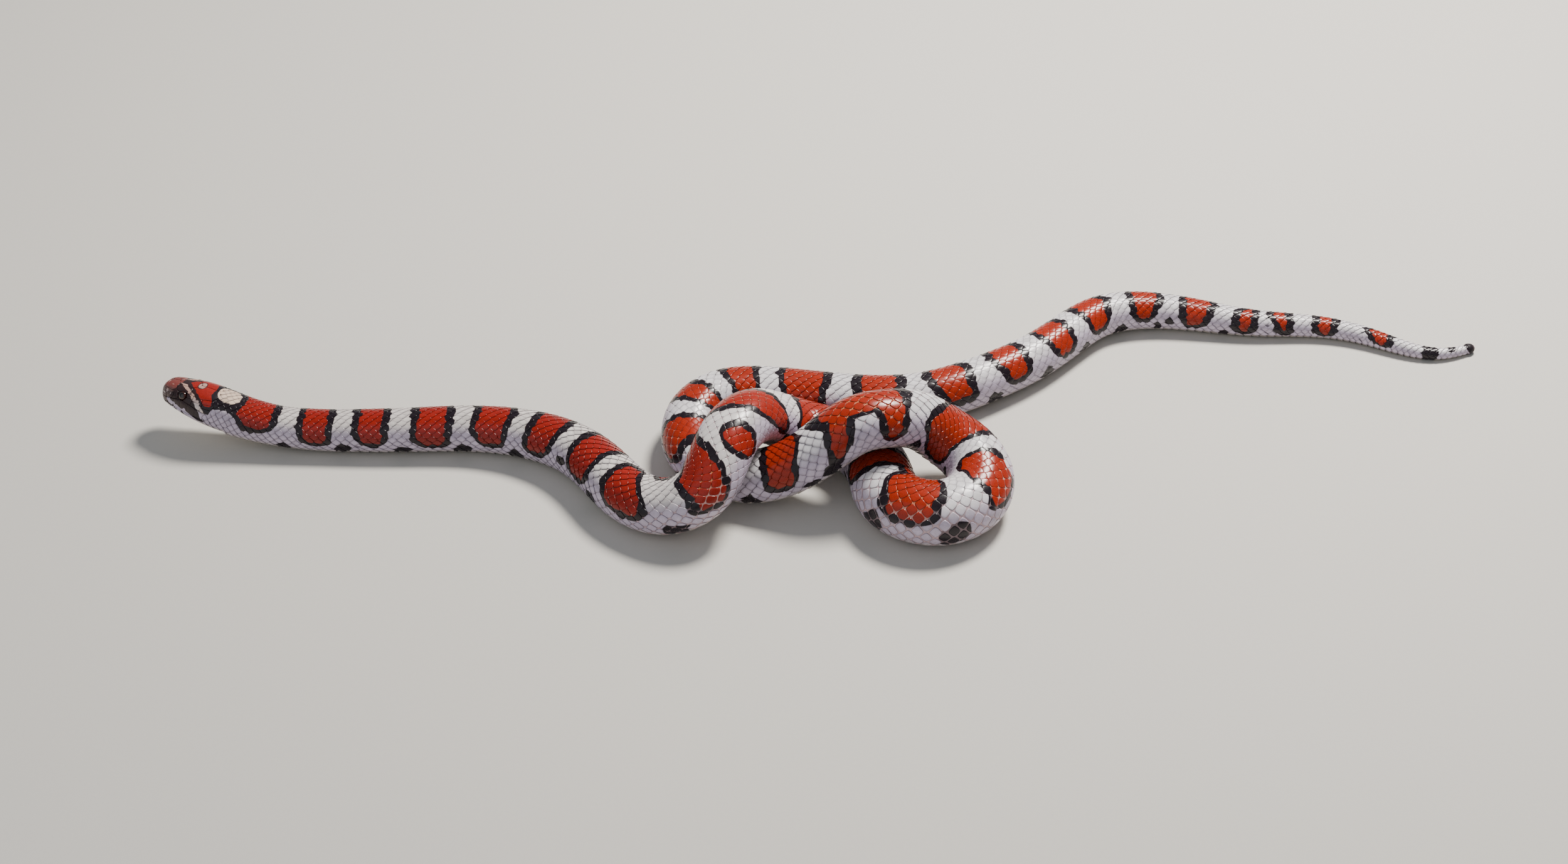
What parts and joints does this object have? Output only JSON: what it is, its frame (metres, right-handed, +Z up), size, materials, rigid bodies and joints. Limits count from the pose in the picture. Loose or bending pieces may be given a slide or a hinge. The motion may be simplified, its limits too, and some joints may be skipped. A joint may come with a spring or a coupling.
{
  "type": "milk snake",
  "caption": "Life-size still model of a milk snake lying in loose crossing coils with its head slightly raised.",
  "frame": {"origin": "middle of the bounding box's footprint, on the floor that the belly rests on", "axes": "+X runs from the head's end of the snake to the tail's end, +Y runs away from the viewer of the picture, +Z is up"},
  "size_m": [0.362, 0.1088, 0.0301],
  "materials": {
    "scales": "smooth glossy scales, red blotches bordered black on pale grey",
    "head_scales": "smooth glossy head shields, red and pale with black edges",
    "eye": "wet gloss"
  },
  "bodies": {
    "root": {"head": "head_scales", "eye_left": "eye", "eye_right": "eye", "neck": "scales", "body_01": "scales", "body_02": "scales", "body_03": "scales", "body_04": "scales", "body_05": "scales", "body_06": "scales", "body_07": "scales", "body_08": "scales", "body_09": "scales", "body_10": "scales", "body_11": "scales", "body_12": "scales", "body_13": "scales", "tail_1": "scales", "tail_2": "scales"}
  },
  "joints": []
}
